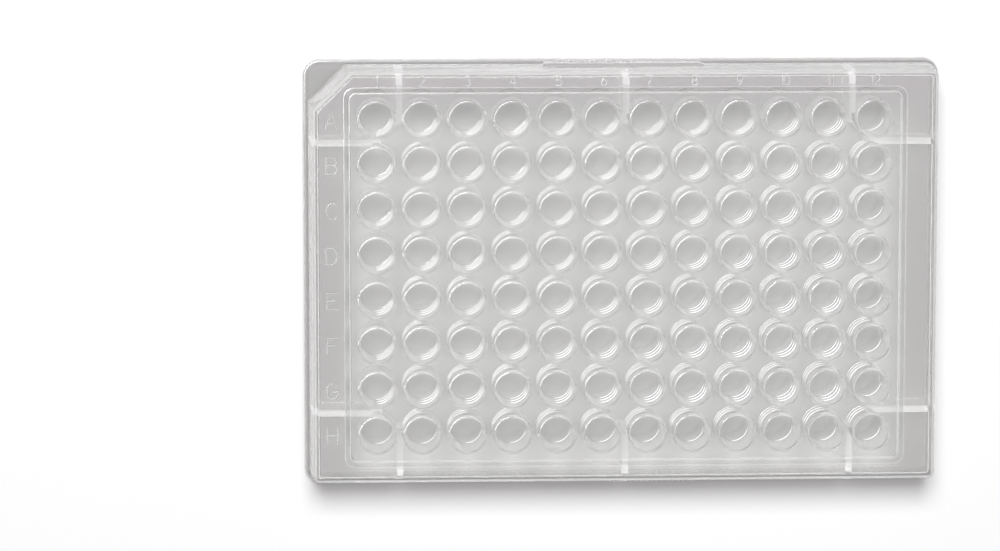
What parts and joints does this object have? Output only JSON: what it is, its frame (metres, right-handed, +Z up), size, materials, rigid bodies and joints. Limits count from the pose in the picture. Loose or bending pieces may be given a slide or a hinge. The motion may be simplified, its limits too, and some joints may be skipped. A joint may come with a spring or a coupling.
{
  "type": "microtitre well plate",
  "caption": "Clear flat-bottom laboratory well plate: a deck with a grid of round wells in a ribbed, open-bottomed skirt with one cut corner.",
  "frame": {"origin": "centre of the footprint, on the table that the skirt stands on", "axes": "+X along the column numbers from 1 to 12, +Y towards row A, +Z up out of the wells"},
  "size_m": [0.1278, 0.0854, 0.0143],
  "materials": {
    "clear_polystyrene": "clear, glossy, injection moulded"
  },
  "bodies": {
    "root": {"plate_body": "clear_polystyrene"}
  },
  "joints": []
}
